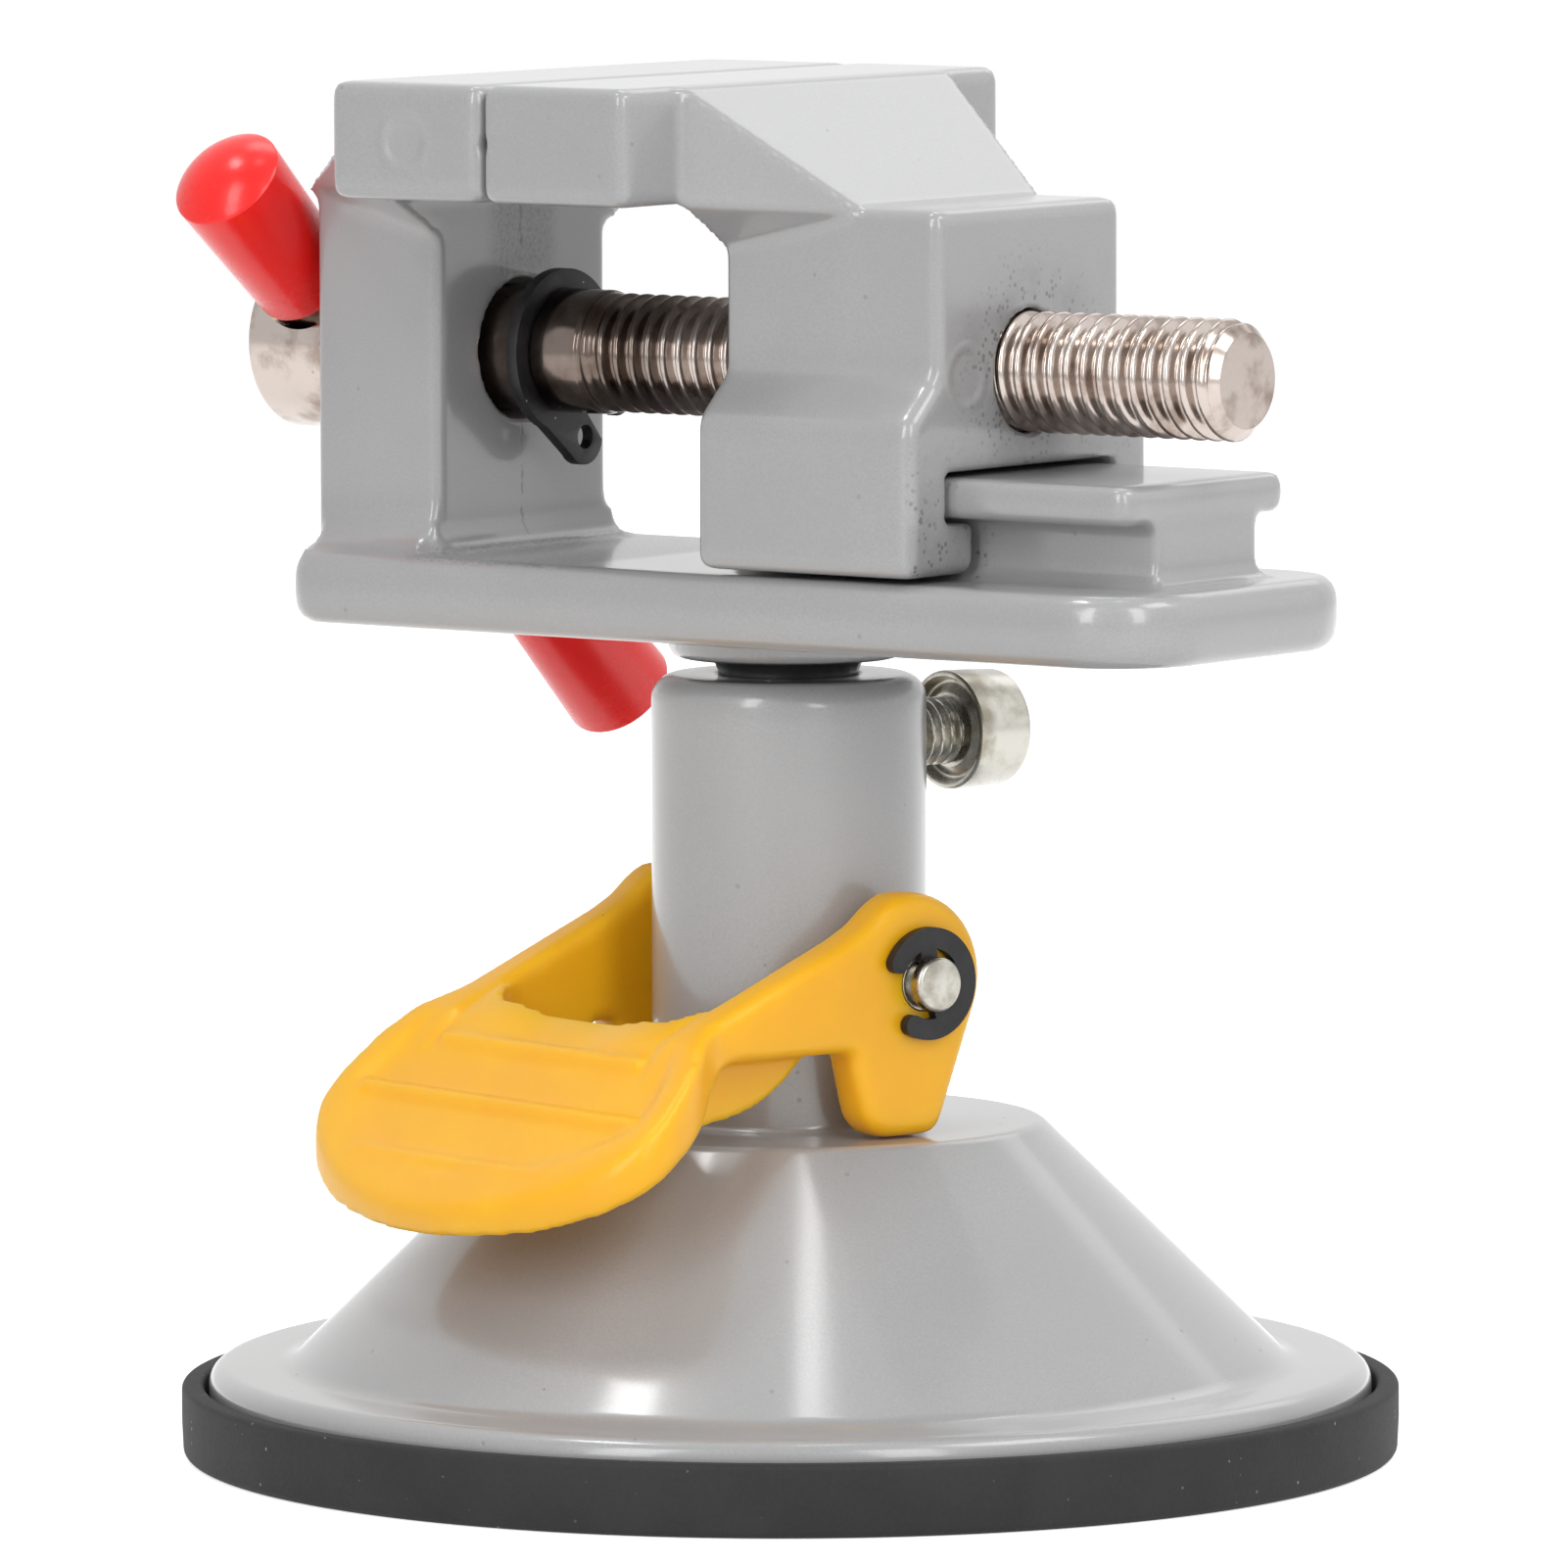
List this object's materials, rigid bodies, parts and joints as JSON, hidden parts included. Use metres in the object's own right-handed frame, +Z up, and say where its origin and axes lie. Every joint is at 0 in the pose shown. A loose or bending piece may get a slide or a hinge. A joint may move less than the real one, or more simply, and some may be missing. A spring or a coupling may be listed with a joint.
{
  "type": "suction base vise",
  "caption": "Small bench vise on a suction base, with a swivelling head, a T-rail sliding jaw, a lead screw with a sliding bar handle and a clamp lever.",
  "frame": {"origin": "on the bench plane, on the common axis of the suction cup, the column and the head's swivel", "axes": "+Z up; +X along the head and the lead screw, from the fixed jaw to the moving jaw; +Y across the jaws"},
  "size_m": [0.0717, 0.071, 0.0801],
  "materials": {
    "grey_paint": "glossy light grey paint on a die casting",
    "black_rubber": "matt black moulded rubber",
    "orange_plastic": "satin orange moulded plastic",
    "red_plastic": "glossy red dipped plastic",
    "nickel_steel": "bright warm nickel plating",
    "zinc_steel": "bright zinc plating",
    "black_steel": "black oxide spring steel"
  },
  "bodies": {
    "base": {"base_casting": "grey_paint", "suction_cup": "black_rubber"},
    "plunger_set": {"plunger": "zinc_steel", "cup_plate": "zinc_steel", "cup_stud": "zinc_steel", "lever_pin": "zinc_steel", "pin_clip_near": "black_steel", "pin_clip_far": "black_steel"},
    "clamp_lever": {"lever": "orange_plastic"},
    "lock": {"lock_screw": "zinc_steel"},
    "head": {"head_casting": "grey_paint"},
    "jaw": {"moving_jaw": "grey_paint"},
    "screw": {"lead_screw": "nickel_steel", "screw_circlip": "black_steel"},
    "handle": {"handle_bar": "nickel_steel", "handle_cap_upper": "red_plastic", "handle_cap_lower": "red_plastic"}
  },
  "joints": [
    {"name": "plunger_slide", "type": "slide", "parent": "base", "child": "plunger_set", "axis": [0, 0, 1], "range_m": [-0.001, 0], "deforming": ["suction_cup"]},
    {"name": "lever_turn", "type": "hinge", "parent": "plunger_set", "child": "clamp_lever", "pos_m": [0, 0, 0.02845], "axis": [-0.9659, 0.2588, 0], "range_deg": [0, 60]},
    {"name": "lock_turn", "type": "hinge", "parent": "base", "child": "lock", "pos_m": [0, 0, 0.0415], "axis": [0.2588, 0.9659, 0], "range_deg": [0, 360]},
    {"name": "head_swivel", "type": "hinge", "parent": "base", "child": "head", "pos_m": [0, 0, 0.0455], "axis": [0, 0, 1], "continuous": true},
    {"name": "screw_turn", "type": "hinge", "parent": "head", "child": "screw", "pos_m": [0, 0, 0.0637], "axis": [-1, 0, 0], "range_deg": [0, 6261]},
    {"name": "jaw_slide", "type": "slide", "parent": "head", "child": "jaw", "axis": [1, 0, 0], "range_m": [0, 0.02]},
    {"name": "bar_slide", "type": "slide", "parent": "screw", "child": "handle", "axis": [0, -0.7547, 0.6561], "range_m": [0, 0.0185]}
  ],
  "couplings": [
    {"joint": "lever_turn", "follows": "plunger_slide", "rad_per_m": -1047},
    {"joint": "screw_turn", "follows": "jaw_slide", "rad_per_m": 5463.6}
  ]
}
